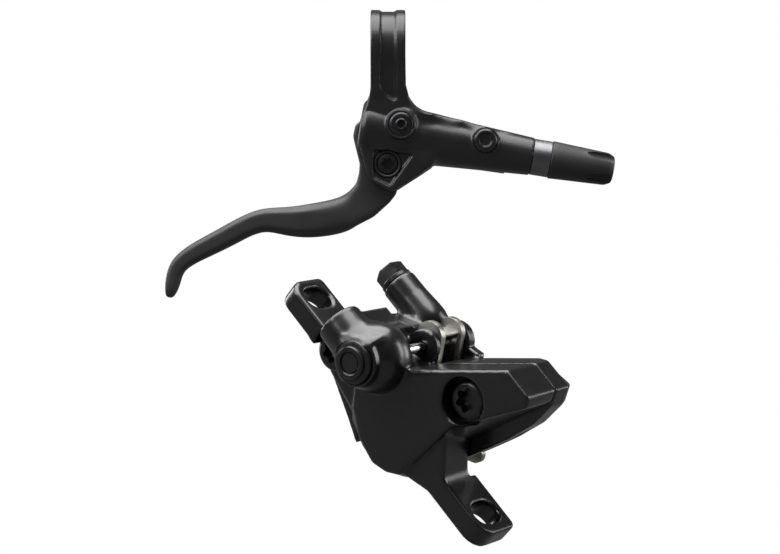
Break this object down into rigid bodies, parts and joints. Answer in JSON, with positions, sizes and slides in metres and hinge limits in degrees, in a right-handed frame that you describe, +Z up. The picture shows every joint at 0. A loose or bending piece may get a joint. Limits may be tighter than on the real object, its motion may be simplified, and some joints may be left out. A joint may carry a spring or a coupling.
{
  "type": "hydraulic disc brake",
  "caption": "Black bicycle disc brake set: hinged hand lever with tapered master cylinder and bar clamp, and a two-piece twin-piston caliper with pads on a pad axle.",
  "frame": {"origin": "centre of the handlebar clamp's bore", "axes": "+X along the handlebar towards the hose end of the lever, +Z up from the blade to the bar, -Y towards the lever's front, from where the picture looks"},
  "size_m": [0.179, 0.344, 0.1749],
  "materials": {
    "body_black": "satin black coat",
    "blade_black": "matte black coat",
    "caliper_black": "glossy black coat",
    "screw_black": "black oxide, satin",
    "bare_steel": "bare, satin",
    "bright_steel": "polished",
    "seal_rubber": "matte",
    "cover_rubber": "matte, slightly grained",
    "black_plastic": "satin",
    "piston_resin": "matte",
    "friction_resin": "matte, grained",
    "brass_bush": "satin"
  },
  "bodies": {
    "housings": {"lever_body": "body_black", "clamp_screw": "screw_black", "reservoir_diaphragm": "seal_rubber", "reservoir_lid": "black_plastic", "lid_screws": "screw_black", "bleed_screw": "screw_black", "bleed_screw_seal": "seal_rubber", "port_plug": "screw_black", "pivot_pin": "screw_black", "pivot_washer": "black_plastic", "pivot_clip": "bare_steel", "return_spring": "bright_steel", "piston_circlip": "bare_steel", "hose_nut": "screw_black", "hose_nut_cover": "cover_rubber", "outboard_half": "caliper_black", "inboard_half": "caliper_black", "body_bolts": "screw_black", "joint_seal": "seal_rubber", "outboard_piston_seal": "seal_rubber", "inboard_piston_seal": "seal_rubber", "pad_spring": "bright_steel", "pad_axle": "bright_steel", "axle_clip": "bright_steel", "bleed_nipple": "screw_black", "passage_plug": "screw_black"},
    "lever_blade": {"lever_blade": "blade_black", "blade_bush": "brass_bush", "reach_screw": "screw_black"},
    "master_piston": {"master_piston": "piston_resin", "primary_seal": "seal_rubber", "secondary_seal": "seal_rubber"},
    "outboard_piston": {"outboard_piston": "piston_resin"},
    "inboard_piston": {"inboard_piston": "piston_resin"},
    "outboard_pad": {"outboard_pad_plate": "bare_steel", "outboard_pad_friction": "friction_resin"},
    "inboard_pad": {"inboard_pad_plate": "bare_steel", "inboard_pad_friction": "friction_resin"}
  },
  "joints": [
    {"name": "lever_pivot", "type": "hinge", "parent": "housings", "child": "lever_blade", "pos_m": [-0.0002, -0.003, -0.0462], "axis": [0, 1, 0], "range_deg": [0, 20], "stiffness_Nm_per_rad": 0.25, "springref_deg": -11.46},
    {"name": "master_piston_slide", "type": "slide", "parent": "housings", "child": "master_piston", "axis": [0.9863, 0, -0.165], "range_m": [0, 0.0052], "deforming": ["return_spring"]},
    {"name": "outboard_piston_slide", "type": "slide", "parent": "housings", "child": "outboard_piston", "axis": [0.6115, 0.7849, 0.1005], "range_m": [0, 0.0006]},
    {"name": "inboard_piston_slide", "type": "slide", "parent": "housings", "child": "inboard_piston", "axis": [-0.6115, -0.7849, -0.1005], "range_m": [0, 0.0006]},
    {"name": "outboard_pad_slide", "type": "slide", "parent": "housings", "child": "outboard_pad", "axis": [0.6115, 0.7849, 0.1005], "range_m": [0, 0.0006], "deforming": ["pad_spring"]},
    {"name": "inboard_pad_slide", "type": "slide", "parent": "housings", "child": "inboard_pad", "axis": [-0.6115, -0.7849, -0.1005], "range_m": [0, 0.0006]}
  ],
  "couplings": [
    {"joint": "master_piston_slide", "follows": "lever_pivot", "m_per_rad": 0.0143},
    {"joint": "outboard_piston_slide", "follows": "lever_pivot", "m_per_rad": 0.00162},
    {"joint": "inboard_piston_slide", "follows": "lever_pivot", "m_per_rad": 0.00162},
    {"joint": "outboard_pad_slide", "follows": "lever_pivot", "m_per_rad": 0.00162},
    {"joint": "inboard_pad_slide", "follows": "lever_pivot", "m_per_rad": 0.00162}
  ]
}
